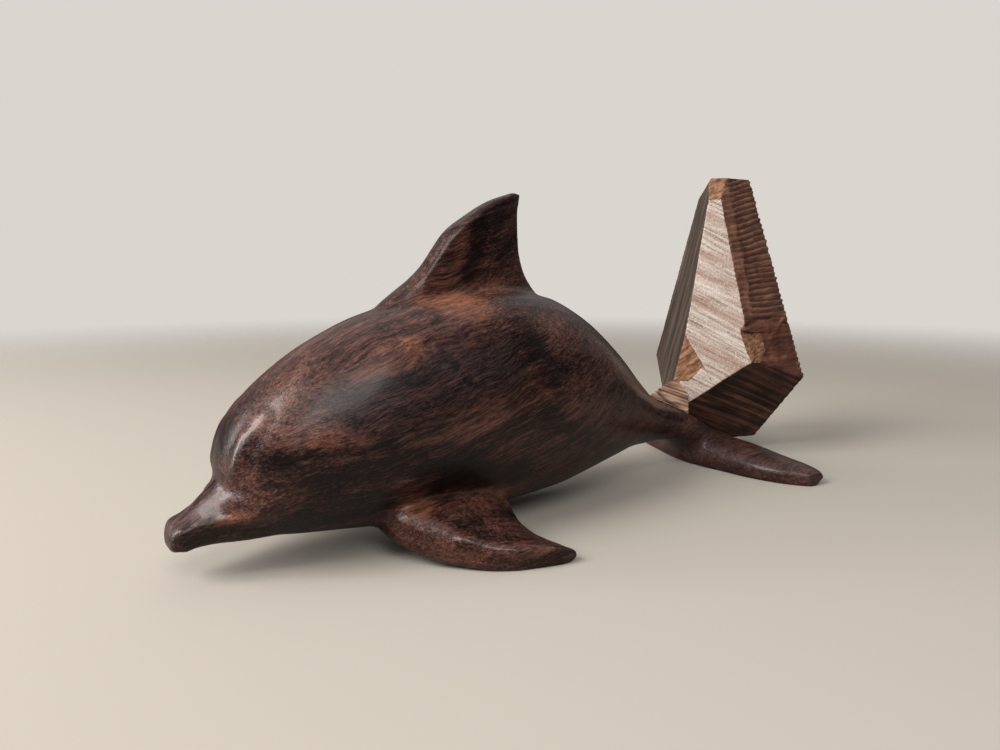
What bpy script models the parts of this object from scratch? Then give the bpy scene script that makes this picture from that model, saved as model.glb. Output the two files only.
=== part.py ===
"""Dolphin figurine in dark oiled hardwood, with a rough-sawn block left standing at its tail.

Metres, +Z up. The dolphin lies along X on its flippers and flukes, with its beak towards -X and
its left side towards -Y. Lengths along it are measured from the tip of the beak and heights from
the floor. At the end everything moves so that the origin is on the floor, under the middle of
the whole figurine.
"""

import math

import bmesh
import bpy
from mathutils import Matrix, Vector

# Torso: behind the beak tip, height of the back, height of the belly, half width
TORSO = (
    (0.0120, 0.0258, 0.0190, 0.0030),
    (0.0129, 0.0292, 0.0145, 0.0080),
    (0.0149, 0.0340, 0.0112, 0.0118),
    (0.0187, 0.0393, 0.0090, 0.0150),
    (0.0246, 0.0447, 0.0075, 0.0180),
    (0.0355, 0.0519, 0.0062, 0.0212),
    (0.0520, 0.0588, 0.0045, 0.0235),
    (0.0840, 0.0646, 0.0034, 0.0240),
    (0.1050, 0.0624, 0.0042, 0.0224),
    (0.1180, 0.0568, 0.0062, 0.0196),
    (0.1330, 0.0458, 0.0090, 0.0152),
    (0.1450, 0.0348, 0.0107, 0.0108),
    (0.1560, 0.0262, 0.0106, 0.0076),
    (0.1660, 0.0222, 0.0100, 0.0066),
)
TORSO_WIDEST = 0.45
TORSO_SQUARENESS = 2.15

# Beak: the same four measures, from its blunt tip to well inside the head
BEAK = (
    (0.0004, 0.0122, 0.0092, 0.0026),
    (0.0010, 0.0136, 0.0082, 0.0040),
    (0.0050, 0.0165, 0.0083, 0.0052),
    (0.0095, 0.0205, 0.0086, 0.0070),
    (0.0150, 0.0245, 0.0085, 0.0100),
    (0.0260, 0.0270, 0.0086, 0.0130),
)
BEAK_WIDEST = 0.42
BEAK_ROOF_SQUARENESS = 1.75
BEAK_JAW_SQUARENESS = 3.2

# Dorsal fin: above the back, leading edge, trailing edge, thickness. The lengths start at the
# saddle, the place on the back that the fin stands on.
DORSAL_SADDLE = 0.0830
DORSAL = (
    (-0.0160, -0.0380, 0.0340, 0.0115),
    (-0.0100, -0.0350, 0.0320, 0.0110),
    (-0.0040, -0.0285, 0.0255, 0.0095),
    (0.0000, -0.0230, 0.0210, 0.0086),
    (0.0050, -0.0168, 0.0177, 0.0076),
    (0.0115, -0.0118, 0.0160, 0.0066),
    (0.0155, -0.0085, 0.0158, 0.0058),
    (0.0200, -0.0015, 0.0156, 0.0048),
    (0.0240, 0.0058, 0.0160, 0.0036),
    (0.0264, 0.0135, 0.0165, 0.0022),
)

# Flipper: out from the flank, leading edge, trailing edge, height of its middle, thickness
FLIPPER = (
    (-0.0140, 0.0440, 0.0835, 0.0120, 0.0140),
    (-0.0056, 0.0458, 0.0815, 0.0088, 0.0120),
    (0.0004, 0.0490, 0.0795, 0.0066, 0.0108),
    (0.0044, 0.0518, 0.0788, 0.0052, 0.0094),
    (0.0084, 0.0556, 0.0790, 0.0042, 0.0082),
    (0.0124, 0.0600, 0.0805, 0.0032, 0.0070),
    (0.0164, 0.0662, 0.0822, 0.0025, 0.0058),
    (0.0190, 0.0740, 0.0830, 0.0019, 0.0045),
    (0.0202, 0.0790, 0.0832, 0.0014, 0.0034),
)
FLIPPER_ROOT = 0.0660

# Flukes: out from the middle, leading edge and its height, trailing edge and its height,
# thickness. The lengths start at the end of the tail stock.
FLUKE = (
    (0.0000, 0.0080, 0.0042, 0.0265, 0.0070, 0.0116),
    (0.0080, 0.0090, 0.0038, 0.0310, 0.0064, 0.0108),
    (0.0160, 0.0113, 0.0031, 0.0330, 0.0056, 0.0096),
    (0.0280, 0.0146, 0.0023, 0.0335, 0.0044, 0.0080),
    (0.0360, 0.0184, 0.0020, 0.0330, 0.0040, 0.0068),
    (0.0412, 0.0224, 0.0018, 0.0322, 0.0034, 0.0054),
    (0.0436, 0.0252, 0.0015, 0.0308, 0.0028, 0.0042),
)

# The flukes sit a little askew, turned about an upright line behind the end of the tail stock
FLUKE_TURN = -9
FLUKE_PIVOT = 0.0120

# Tail block: its middle behind the end of the tail stock and above the floor
BLANK_SIZE = 0.2400
BLOCK_SETBACK = 0.0313
BLOCK_LEVEL = 0.0500

# Its saw cuts: the heading that each one's outer side faces and how far it looks up, in degrees
BLOCK_FACING = {
    "pale front": (222, 8),
    "left wall": (152, 10.2),
    "left shoulder": (130, 30),
    "right wall": (262, 14),
    "rear wall": (8, 6.5),
    "far wall": (95, 13.4),
    "top": (0, 90),
    "front undercut": (250, -29.5),
    "rear undercut": (0, -10),
    "far undercut": (100, -40),
    "left undercut": (125, -18.7),
    "foot": (0, -90),
}
# How far each cut is from the middle. The foot ends half way into the flukes, which cut it to fit.
BLOCK_REACH = {
    "pale front": 0.0123,
    "left wall": 0.0178,
    "left shoulder": 0.0326,
    "right wall": 0.0126,
    "rear wall": 0.0145,
    "far wall": 0.0211,
    "top": 0.0521,
    "front undercut": 0.0209,
    "rear undercut": 0.0232,
    "far undercut": 0.0343,
    "left undercut": 0.0288,
    "foot": BLOCK_LEVEL - (FLUKE[0][2] + FLUKE[0][4]) / 2,
}

# Root of the block, a wedge left where it runs down into the tail stock, sawn the same way
ROOT_FACING = {"near side": (269, 37), "far side": (106, 20), "underside": (0, -90), "back": (0, -38)}
ROOT_REACH = {"near side": -0.0142, "far side": 0.0030, "underside": 0.0320, "back": -0.0012}

# Tenons: along the root, across it, and how deep they go into the wood that holds them
DORSAL_TENON = (0.0200, 0.0040, 0.0080)
FLIPPER_TENON = (0.0160, 0.0045, 0.0060)
FLIPPER_TENON_LEVEL = 0.0092
TAIL_TENON = (0.0060, 0.0050, 0.0050)
BLOCK_TENON = (0.0070, 0.0050, 0.0045)
BLOCK_TENON_SETBACK = 0.0185
BLOCK_TENON_OFFSET = 0.0045
BLOCK_SEAT_LEVEL = 0.0130
TENON_ROOT = 0.0030
SEAT_GAP = 0.0003

# Hub of the flukes, which carries on from the tail stock: behind its end, top, bottom, half width
HUB = (
    (0.0070, 0.0195, 0.0060, 0.0085),
    (0.0150, 0.0150, 0.0025, 0.0090),
    (0.0230, 0.0098, 0.0020, 0.0070),
)
HUB_SQUARENESS = 2.15

# Section of every fin: where along its chord it is thickest, how blunt it is in front, how it
# tapers behind, and the share of its thickness that is left as a rounded back edge
FULLEST = 0.3
FRONT_SQUARENESS = 2.6
TAPER = 1.7
EDGE_SHARE = 0.25
EDGE_TURN = 6

# Fineness of the facets
RING_POINTS = 36
BLADE_POINTS = 24
RINGS_PER_STATION = 4
SHARP_ANGLE = 35

# Finish of each piece: colour and roughness
OILED = (0.085, 0.035, 0.025)
SAWN = (0.36, 0.29, 0.25)
FINISHES = {
    "body": (OILED, 0.35),
    "dorsal_fin": (OILED, 0.38),
    "left_pectoral_fin": (OILED, 0.38),
    "right_pectoral_fin": (OILED, 0.38),
    "tail_flukes": (OILED, 0.40),
    "tail_block": (SAWN, 0.75),
}

TAIL_END = TORSO[-1][0]

for old in list(bpy.data.objects):
    bpy.data.objects.remove(old, do_unlink=True)
parts = bpy.data.collections.new("Dolphin figurine")
cutters = bpy.data.collections.new("Cutters")
bpy.context.scene.collection.children.link(parts)
bpy.context.scene.collection.children.link(cutters)


def smooth_through(stations, steps):
    """Rows between the stations, on curves that pass through each one and never overshoot."""
    xs = [row[0] for row in stations]
    columns = list(zip(*stations))
    slopes = []
    for column in columns:
        chords = [(b - a) / (xb - xa) for a, b, xa, xb in zip(column, column[1:], xs, xs[1:])]
        turns = [0 if p * q <= 0 else 2 * p * q / (p + q) for p, q in zip(chords, chords[1:])]
        slopes.append([chords[0], *turns, chords[-1]])
    rows = []
    for i in range(len(xs) - 1):
        span = xs[i + 1] - xs[i]
        for step in range(steps):
            t = step / steps
            rows.append([
                (2 * t**3 - 3 * t**2 + 1) * column[i]
                + (t**3 - 2 * t**2 + t) * span * slope[i]
                + (3 * t**2 - 2 * t**3) * column[i + 1]
                + (t**3 - t**2) * span * slope[i + 1]
                for column, slope in zip(columns, slopes)
            ])
    rows.append(list(stations[-1]))
    return rows


def torso_at(x):
    """Height of the back, height of the belly and half width of the torso at one place."""
    rows = smooth_through(TORSO, 8)
    for a, b in zip(rows, rows[1:]):
        if x <= b[0]:
            share = max(0, (x - a[0]) / (b[0] - a[0]))
            return [p + (q - p) * share for p, q in zip(a[1:], b[1:])]
    return rows[-1][1:]


def flank_at(x, level):
    """Half width of the torso at one place and height."""
    back, belly, half_width = torso_at(x)
    widest = belly + TORSO_WIDEST * (back - belly)
    share = (widest - level) / (widest - belly)
    return half_width * (1 - share**TORSO_SQUARENESS) ** (1 / TORSO_SQUARENESS)


def power(value, squareness):
    return math.copysign(abs(value) ** (2 / squareness), value)


def body_ring(row, widest, roof_squareness, jaw_squareness):
    """An upright ring with its own curve above and below its widest level."""
    x, back, belly, half_width = row
    level = belly + widest * (back - belly)
    ring = []
    for i in range(RING_POINTS):
        angle = 2 * math.pi * i / RING_POINTS
        side, rise = math.cos(angle), math.sin(angle)
        squareness = roof_squareness if rise >= 0 else jaw_squareness
        reach = back - level if rise >= 0 else level - belly
        across = half_width * power(side, squareness)
        ring.append(Vector((x, across, level + reach * power(rise, squareness))))
    return ring


def blade_ring(lead, trail, thickness, across):
    """A ring of a fin: blunt in front, fullest at FULLEST of the chord, fine at the back edge."""
    ring = []
    for i in range(BLADE_POINTS):
        angle = 2 * math.pi * i / BLADE_POINTS
        u = (1 - math.cos(angle)) / 2
        if u < FULLEST:
            fullness = (1 - (1 - u / FULLEST) ** FRONT_SQUARENESS) ** (1 / FRONT_SQUARENESS)
        else:
            past = (u - FULLEST) / (1 - FULLEST)
            fullness = (1 - EDGE_SHARE) * (1 - past**TAPER) + EDGE_SHARE * (1 - past**EDGE_TURN) ** 0.5
        reach = math.copysign(thickness / 2 * fullness, math.sin(angle))
        ring.append(lead.lerp(trail, u) + reach * across)
    return ring


def finish(name, shape, collection):
    bmesh.ops.recalc_face_normals(shape, faces=shape.faces)
    mesh = bpy.data.meshes.new(name)
    shape.to_mesh(mesh)
    shape.free()
    mesh.shade_smooth()
    mesh.set_sharp_from_angle(angle=math.radians(SHARP_ANGLE))
    piece = bpy.data.objects.new(name, mesh)
    collection.objects.link(piece)
    if collection == cutters:
        piece.hide_render = True
        piece.display_type = "WIRE"
    return piece


def skin(name, rings, collection, floor_cut=False):
    """A closed body through rings that hold the same number of points."""
    shape = bmesh.new()
    loops = [[shape.verts.new(point) for point in ring] for ring in rings]
    for near, far in zip(loops, loops[1:]):
        for i, point in enumerate(near):
            j = (i + 1) % len(near)
            shape.faces.new((point, near[j], far[j], far[i]))
    shape.faces.new(reversed(loops[0]))
    shape.faces.new(loops[-1])
    if floor_cut:
        cut_away(shape, Vector((0, 0, 0)), Vector((0, 0, -1)))
    return finish(name, shape, collection)


def cut_away(shape, point, outward):
    """Saws off everything on the outer side of a plane and closes the cut."""
    geometry = shape.verts[:] + shape.edges[:] + shape.faces[:]
    cut = bmesh.ops.bisect_plane(
        shape, geom=geometry, plane_co=point, plane_no=outward, clear_outer=True
    )
    rim = [edge for edge in cut["geom_cut"] if isinstance(edge, bmesh.types.BMEdge)]
    if rim:
        bmesh.ops.holes_fill(shape, edges=rim)


def box(name, middle, size, collection, slack=0.0):
    """A block by its middle and size, made larger all round by the slack."""
    shape = bmesh.new()
    bmesh.ops.create_cube(shape, size=1)
    bmesh.ops.scale(shape, vec=[side + 2 * slack for side in size], verts=shape.verts)
    bmesh.ops.translate(shape, vec=middle, verts=shape.verts)
    return finish(name, shape, collection)


def combine(piece, operation, tool):
    step = piece.modifiers.new(tool.name, "BOOLEAN")
    step.operation = operation
    step.solver = "EXACT"
    step.object = tool


def wood(name, colour, roughness):
    material = bpy.data.materials.new(name)
    material.use_nodes = True
    shader = material.node_tree.nodes["Principled BSDF"]
    shader.inputs["Base Color"].default_value = (*colour, 1)
    shader.inputs["Roughness"].default_value = roughness
    shader.inputs["Metallic"].default_value = 0
    material.diffuse_color = (*colour, 1)
    return material


def torso_rings(slack=0.0):
    """The torso, or with a slack the space it must have round it."""
    rows = [
        (x, back + slack, belly - slack, half_width + slack)
        for x, back, belly, half_width in smooth_through(TORSO, RINGS_PER_STATION)
    ]
    if slack:
        rows.append((TAIL_END + slack, *rows[-1][1:]))
    return [body_ring(row, TORSO_WIDEST, TORSO_SQUARENESS, TORSO_SQUARENESS) for row in rows]


def beak_rings():
    return [
        body_ring(row, BEAK_WIDEST, BEAK_ROOF_SQUARENESS, BEAK_JAW_SQUARENESS)
        for row in smooth_through(BEAK, RINGS_PER_STATION)
    ]


def hub_rings(slack=0.0):
    stations = [TORSO[-1]] + [(TAIL_END + row[0], *row[1:]) for row in HUB]
    return [
        body_ring(
            (x, top + slack, bottom - slack, half_width + slack),
            TORSO_WIDEST, HUB_SQUARENESS, HUB_SQUARENESS,
        )
        for x, top, bottom, half_width in smooth_through(stations, RINGS_PER_STATION)
    ]


def dorsal_rings():
    saddle = torso_at(DORSAL_SADDLE)[0]
    return [
        blade_ring(
            Vector((DORSAL_SADDLE + lead, 0, saddle + rise)),
            Vector((DORSAL_SADDLE + trail, 0, saddle + rise)),
            thickness, Vector((0, 1, 0)),
        )
        for rise, lead, trail, thickness in smooth_through(DORSAL, RINGS_PER_STATION)
    ]


def flipper_rings(side):
    flank = torso_at(FLIPPER_ROOT)[2]
    return [
        blade_ring(
            Vector((lead, side * (flank + out), level)),
            Vector((trail, side * (flank + out), level)),
            thickness, Vector((0, 0, 1)),
        )
        for out, lead, trail, level, thickness in smooth_through(FLIPPER, RINGS_PER_STATION)
    ]


def fluke_rings(slack=0.0):
    right = smooth_through(FLUKE, RINGS_PER_STATION)
    left = [[-row[0], *row[1:]] for row in right[:0:-1]]
    rings = []
    for out, lead, lead_level, trail, trail_level, thickness in left + right:
        front = Vector((TAIL_END + lead - slack, out, lead_level))
        back = Vector((TAIL_END + trail + slack, out, trail_level))
        chord = (back - front).normalized()
        across = Vector((0, 1, 0)).cross(chord)
        rings.append(blade_ring(front, back, thickness + 2 * slack, across))
    pivot = Matrix.Translation((TAIL_END + FLUKE_PIVOT, 0, 0))
    turn = pivot @ Matrix.Rotation(math.radians(FLUKE_TURN), 4, "Z") @ pivot.inverted()
    return [[turn @ point for point in ring] for ring in rings]


def sawn(name, facing, reach, collection):
    """A blank, sawn down to a shape by one plane after another."""
    middle = Vector((TAIL_END + BLOCK_SETBACK, 0, BLOCK_LEVEL))
    shape = bmesh.new()
    bmesh.ops.create_cube(shape, size=BLANK_SIZE)
    bmesh.ops.translate(shape, vec=middle, verts=shape.verts)
    for cut, (heading, tilt) in facing.items():
        turn, lean = math.radians(heading), math.radians(tilt)
        level_part = math.cos(lean)
        outward = Vector((level_part * math.cos(turn), level_part * math.sin(turn), math.sin(lean)))
        cut_away(shape, middle + reach[cut] * outward, outward)
    return finish(name, shape, collection)


def seat(fin, holder, name, middle, size):
    """Gives the fin a tenon and the piece that holds it a mortise with the seat gap all round."""
    combine(fin, "UNION", box(name + "_tenon", middle, size, cutters))
    combine(holder, "DIFFERENCE", box(name + "_mortise", middle, size, cutters, SEAT_GAP))


# Body: torso and beak in one, with the space round it that the other pieces keep clear of
body = skin("body", torso_rings(), parts)
combine(body, "UNION", skin("beak", beak_rings(), cutters))
body_space = skin("body_space", torso_rings(SEAT_GAP), cutters)

# Dorsal fin, seated in the back
dorsal_fin = skin("dorsal_fin", dorsal_rings(), parts)
combine(dorsal_fin, "DIFFERENCE", body_space)
length, width, depth = DORSAL_TENON
seat(
    dorsal_fin, body, "dorsal",
    Vector((DORSAL_SADDLE, 0, torso_at(DORSAL_SADDLE)[0] + (TENON_ROOT - depth) / 2)),
    (length, width, depth + TENON_ROOT),
)

# Flippers, seated low in the flanks
for side, name in ((-1, "left_pectoral_fin"), (1, "right_pectoral_fin")):
    flipper = skin(name, flipper_rings(side), parts, floor_cut=True)
    combine(flipper, "DIFFERENCE", body_space)
    length, width, depth = FLIPPER_TENON
    flank = flank_at(FLIPPER_ROOT, FLIPPER_TENON_LEVEL)
    seat(
        flipper, body, name,
        Vector((FLIPPER_ROOT, side * (flank + (TENON_ROOT - depth) / 2), FLIPPER_TENON_LEVEL)),
        (length, depth + TENON_ROOT, width),
    )

# Flukes on their hub, on the end of the tail stock
tail_flukes = skin("tail_flukes", fluke_rings(), parts, floor_cut=True)
combine(tail_flukes, "UNION", skin("hub", hub_rings(), cutters))
combine(tail_flukes, "DIFFERENCE", body_space)
fluke_space = skin("fluke_space", fluke_rings(SEAT_GAP), cutters)
hub_space = skin("hub_space", hub_rings(SEAT_GAP), cutters)
height, width, depth = TAIL_TENON
tail_top, tail_bottom = TORSO[-1][1:3]
seat(
    body, tail_flukes, "tail",
    Vector((TAIL_END + (depth - TENON_ROOT) / 2, 0, (tail_top + tail_bottom) / 2)),
    (depth + TENON_ROOT, width, height),
)

# Rough block, standing on the flukes
tail_block = sawn("tail_block", BLOCK_FACING, BLOCK_REACH, parts)
combine(tail_block, "UNION", sawn("block_root", ROOT_FACING, ROOT_REACH, cutters))
for space in (body_space, fluke_space, hub_space):
    combine(tail_block, "DIFFERENCE", space)
length, width, depth = BLOCK_TENON
seat(
    tail_block, tail_flukes, "block",
    Vector((
        TAIL_END + BLOCK_TENON_SETBACK, BLOCK_TENON_OFFSET,
        BLOCK_SEAT_LEVEL + (TENON_ROOT - depth) / 2,
    )),
    (length, width, depth + TENON_ROOT),
)

for piece in parts.objects:
    colour, roughness = FINISHES[piece.name]
    piece.data.materials.append(wood(piece.name.replace("_", " ") + " wood", colour, roughness))

# The origin goes on the floor under the middle of the whole figurine
bpy.context.view_layer.update()
depsgraph = bpy.context.evaluated_depsgraph_get()
corners = [
    piece.matrix_world @ Vector(corner)
    for piece in parts.objects
    for corner in piece.evaluated_get(depsgraph).bound_box
]
low = Vector([min(corner[axis] for corner in corners) for axis in range(3)])
high = Vector([max(corner[axis] for corner in corners) for axis in range(3)])
figurine = bpy.data.objects.new("figurine", None)
parts.objects.link(figurine)
for piece in [*parts.objects, *cutters.objects]:
    if piece != figurine:
        piece.parent = figurine
figurine.location = (-(low.x + high.x) / 2, -(low.y + high.y) / 2, -low.z)
bpy.context.view_layer.update()
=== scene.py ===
# %% [markdown]
# # A carved wooden dolphin
# The real thing is a dolphin, about 20 cm long, carved by hand from one piece of dark, figured
# hardwood and rubbed with oil. It lies on its flippers and its flukes, and at the tail the carver left
# a tall block as it came off the saw. This notebook dresses the plain solids of the part: it reads
# them, melts the dolphin's pieces into one soft skin, roughens the block, and mixes the woods.

# %% Load the solids
import math

import bmesh
import bpy
import numpy as np
from mathutils import Euler, Matrix, Quaternion, Vector, noise
from mathutils.bvhtree import BVHTree
from mathutils.kdtree import KDTree


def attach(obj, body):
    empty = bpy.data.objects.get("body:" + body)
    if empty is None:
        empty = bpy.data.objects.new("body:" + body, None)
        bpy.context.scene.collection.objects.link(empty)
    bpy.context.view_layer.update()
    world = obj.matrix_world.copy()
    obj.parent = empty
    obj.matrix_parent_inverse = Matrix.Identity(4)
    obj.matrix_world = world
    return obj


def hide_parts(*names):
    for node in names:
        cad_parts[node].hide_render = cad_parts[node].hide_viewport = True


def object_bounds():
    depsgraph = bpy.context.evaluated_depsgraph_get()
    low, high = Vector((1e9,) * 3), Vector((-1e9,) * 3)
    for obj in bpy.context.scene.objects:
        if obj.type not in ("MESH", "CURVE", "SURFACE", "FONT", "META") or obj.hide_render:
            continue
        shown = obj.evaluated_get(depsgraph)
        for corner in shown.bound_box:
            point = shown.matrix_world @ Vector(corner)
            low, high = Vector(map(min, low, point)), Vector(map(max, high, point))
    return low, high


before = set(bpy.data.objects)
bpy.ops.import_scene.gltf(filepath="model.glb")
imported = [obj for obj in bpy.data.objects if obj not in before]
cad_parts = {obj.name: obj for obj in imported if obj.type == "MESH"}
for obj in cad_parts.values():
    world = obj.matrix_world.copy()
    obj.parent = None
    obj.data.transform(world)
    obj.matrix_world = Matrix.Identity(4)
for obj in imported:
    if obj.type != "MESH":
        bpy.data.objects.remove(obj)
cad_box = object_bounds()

MM = 0.001
print("solids:", ", ".join(sorted(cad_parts)))
print("box in mm:", [[round(value / MM, 1) for value in corner] for corner in cad_box])

# %% [markdown]
# ## The camera
# The carving was looked at from close by, from in front of its left side and a little above. A camera
# that near makes the beak look big and the tail small, so its place matters more than its lens. It
# stands where the outline of the solids meets that of the real one.

# %% Set up the camera
PHOTO_WIDTH = 1000
FOCAL_LENGTH = 727  # in the photo's pixels
SENSOR_WIDTH = 36
BEAK_TIP = cad_box[0][0]
CAMERA_PLACE = (BEAK_TIP - 0.0322, -0.1669, 0.0710)
LOOKS_DOWN, LOOKS_RIGHT = 8.6, 36.5

camera_data = bpy.data.cameras.new("camera")
camera_data.sensor_width = SENSOR_WIDTH
camera_data.lens = SENSOR_WIDTH * FOCAL_LENGTH / PHOTO_WIDTH
camera_data.clip_start = 0.01
camera = bpy.data.objects.new("camera", camera_data)
camera.location = CAMERA_PLACE
camera.rotation_euler = Euler((math.radians(90 - LOOKS_DOWN), 0, math.radians(-LOOKS_RIGHT)))
bpy.context.scene.collection.objects.link(camera)
bpy.context.scene.camera = camera
print("lens", round(camera_data.lens, 2), "mm at", [round(value, 3) for value in camera.location])

# %% [markdown]
# ## Shader sums as Python
# A wood finish is mostly arithmetic on noise. Written node by node that is hard to read, so a small
# class wraps a socket and turns +, - and * into Math nodes. Everything else comes from one method,
# which takes a node's kind, its settings and what goes into its sockets.

# %% A socket that Python can reckon with
class Wire:
    """The output of a node. A sum with it adds the Math node that the sum stands for."""

    def __init__(self, finish, socket):
        self.finish, self.socket = finish, socket

    def sum(self, operation, *values):
        return self.finish.add("ShaderNodeMath", {"operation": operation}, dict(enumerate(values)))

    def __add__(self, other):
        return self.sum("ADD", self, other)

    def __radd__(self, other):
        return self.sum("ADD", other, self)

    def __sub__(self, other):
        return self.sum("SUBTRACT", self, other)

    def __rsub__(self, other):
        return self.sum("SUBTRACT", other, self)

    def __mul__(self, other):
        return self.sum("MULTIPLY", self, other)

    def __rmul__(self, other):
        return self.sum("MULTIPLY", other, self)


class Finish:
    """A material or a world, with short names for the nodes that these woods are mixed from."""

    def __init__(self, name, kind="materials"):
        self.made = getattr(bpy.data, kind).new(name)
        self.made.use_nodes = True
        self.tree = self.made.node_tree
        self.tree.nodes.clear()

    def add(self, kind, settings=None, inputs=None, output=0):
        node = self.tree.nodes.new(kind)
        for name, value in (settings or {}).items():
            if name == "stops":
                ramp = node.color_ramp
                while len(ramp.elements) < len(value):
                    ramp.elements.new(1)
                for element, (place, colour) in zip(ramp.elements, value):
                    element.position, element.color = place, (*colour, 1)
            else:
                setattr(node, name, value)
        for name, value in (inputs or {}).items():
            if isinstance(value, Wire):
                self.tree.links.new(value.socket, node.inputs[name])
            else:
                node.inputs[name].default_value = value
        return Wire(self, node.outputs[output]) if node.outputs else None

    def place(self):
        return self.add("ShaderNodeTexCoord", output="Object")

    def camera_ray(self):
        """1 for what the camera sees directly, 0 for what is mirrored or lit by it."""
        return self.add("ShaderNodeLightPath", output="Is Camera Ray")

    def attribute(self, name):
        return self.add("ShaderNodeAttribute", {"attribute_name": name}, output="Fac")

    def vector(self, operation, *values, output="Vector"):
        return self.add("ShaderNodeVectorMath", {"operation": operation}, dict(enumerate(values)), output)

    def laid(self, where, ways, counts):
        """The place reckoned along three ways, with so many lumps in a metre of each: few along the
        grain and many across it draw a pattern out into fibres."""
        steps = [
            self.vector("DOT_PRODUCT", where, tuple(float(part) for part in way), output="Value") * count
            for way, count in zip(ways, counts)
        ]
        return self.add("ShaderNodeCombineXYZ", None, dict(enumerate(steps)))

    def noise(self, where, scale, detail=2.0, rough=0.5, output="Fac"):
        return self.add(
            "ShaderNodeTexNoise", None,
            {"Vector": where, "Scale": scale, "Detail": detail, "Roughness": rough}, output,
        )

    def push(self, where, lumps, reach):
        """How far a noise pushes each place. Added to the place, it makes a pattern wander."""
        way = self.vector("SUBTRACT", self.noise(where, lumps, output="Color"), (0.5, 0.5, 0.5))
        return self.vector("MULTIPLY", way, (reach, reach, reach))

    def step(self, value, low, high):
        """0 up to low, 1 from high, and a soft slope between. low may be the larger of the two."""
        return self.add(
            "ShaderNodeMapRange", {"interpolation_type": "SMOOTHSTEP"},
            {"Value": value, "From Min": low, "From Max": high},
        )

    def mix(self, first, second, share, how="MIX"):
        colours = [
            value if isinstance(value, Wire) else (*value, 1) for value in (first, second)
        ]
        return self.add(
            "ShaderNodeMix", {"data_type": "RGBA", "blend_type": how},
            {0: share, 6: colours[0], 7: colours[1]}, 2,
        )

    def tint(self, colour, tint, share):
        """A colour multiplied by a tint, for a share of the way."""
        return self.mix(colour, self.mix(colour, tint, 1.0, "MULTIPLY"), share)

    def ramp(self, value, *stops):
        return self.add("ShaderNodeValToRGB", {"stops": stops}, {"Fac": value}, "Color")

    def bump(self, height, depth, strength):
        return self.add(
            "ShaderNodeBump", None, {"Height": height, "Distance": depth, "Strength": strength}, "Normal"
        )

    def done(self, **sockets):
        shader = self.add(
            "ShaderNodeBsdfPrincipled", None,
            {name.replace("_", " "): value for name, value in sockets.items()}, "BSDF",
        )
        self.add("ShaderNodeOutputMaterial", None, {"Surface": shader})
        return self.made


# %% [markdown]
# ## The floor and the light
# The carving lies on a plain pale floor that fades into the background, so that no edge shows behind
# it. Oiled wood mirrors what lies round it, and a floor as pale as this one would lay a grey haze over
# the dark wood. So the floor has its pale colour for the camera alone, and a darker one for the wood.

# %% Lay the floor
FLOOR_COLOUR = (0.48, 0.447, 0.40)
FLOOR_MIRRORED = (0.26, 0.235, 0.205)
BACKGROUND = (0.70, 0.665, 0.625)
FLOOR_HALF_WIDTH = 3
FLOOR_FADES = (0.30, 0.85)


def floor_finish():
    finish = Finish("floor")
    distance = finish.vector("LENGTH", finish.place(), output="Value")
    colour = finish.mix(FLOOR_MIRRORED, FLOOR_COLOUR, finish.camera_ray())
    near = finish.add("ShaderNodeBsdfDiffuse", None, {"Color": colour, "Roughness": 0.0}, "BSDF")
    far = finish.add("ShaderNodeBsdfTransparent", None, None, "BSDF")
    faded = finish.step(distance, *FLOOR_FADES)
    shader = finish.add("ShaderNodeMixShader", None, {0: faded, 1: near, 2: far}, "Shader")
    finish.add("ShaderNodeOutputMaterial", None, {"Surface": shader})
    return finish.made


floor_mesh = bpy.data.meshes.new("floor")
floor_shape = bmesh.new()
bmesh.ops.create_grid(floor_shape, x_segments=1, y_segments=1, size=FLOOR_HALF_WIDTH)
floor_shape.to_mesh(floor_mesh)
floor_mesh.materials.append(floor_finish())
floor = bpy.data.objects.new("floor", floor_mesh)
bpy.context.scene.collection.objects.link(floor)
print("floor", [round(side, 1) for side in floor.dimensions], "m")

# %% [markdown]
# The light is that of a room with one large window. A big soft lamp ahead of the beak is the window,
# and the oiled forehead mirrors it as a bright streak. A low narrow one beside it lights the top of the
# beak, one on the camera's side keeps the flank from going black, and a wide weak one overhead is the
# sky. A low even light comes from all round, brighter high up behind the carving.

# %% Hang the lamps
LAMPS = {
    "window": {"heading": 174, "height": 35, "roll": -25, "distance": 0.95, "width": 0.44, "tall": 0.56,
               "power": 9.8, "colour": (1.0, 0.95, 0.90)},
    "low window": {"heading": 149, "height": 14, "roll": 0, "distance": 0.95, "width": 0.20, "tall": 0.42,
                   "power": 3.8, "colour": (1.0, 0.97, 0.95)},
    "front": {"heading": 245, "height": 44, "roll": 0, "distance": 1.1, "width": 0.62, "tall": 0.62,
              "power": 5.6, "colour": (1.0, 0.97, 0.94)},
    "sky": {"heading": 120, "height": 84, "roll": 0, "distance": 1.2, "width": 1.4, "tall": 1.4,
            "power": 2.8, "colour": (1.0, 0.98, 0.96)},
}
AIM = Vector((0, 0, 0.04))


def outward(heading, lift):
    """The way that something faces, from its heading and how far it looks up, in degrees."""
    turn, rise = math.radians(heading), math.radians(lift)
    return np.array([math.cos(rise) * math.cos(turn), math.cos(rise) * math.sin(turn), math.sin(rise)])


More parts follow.
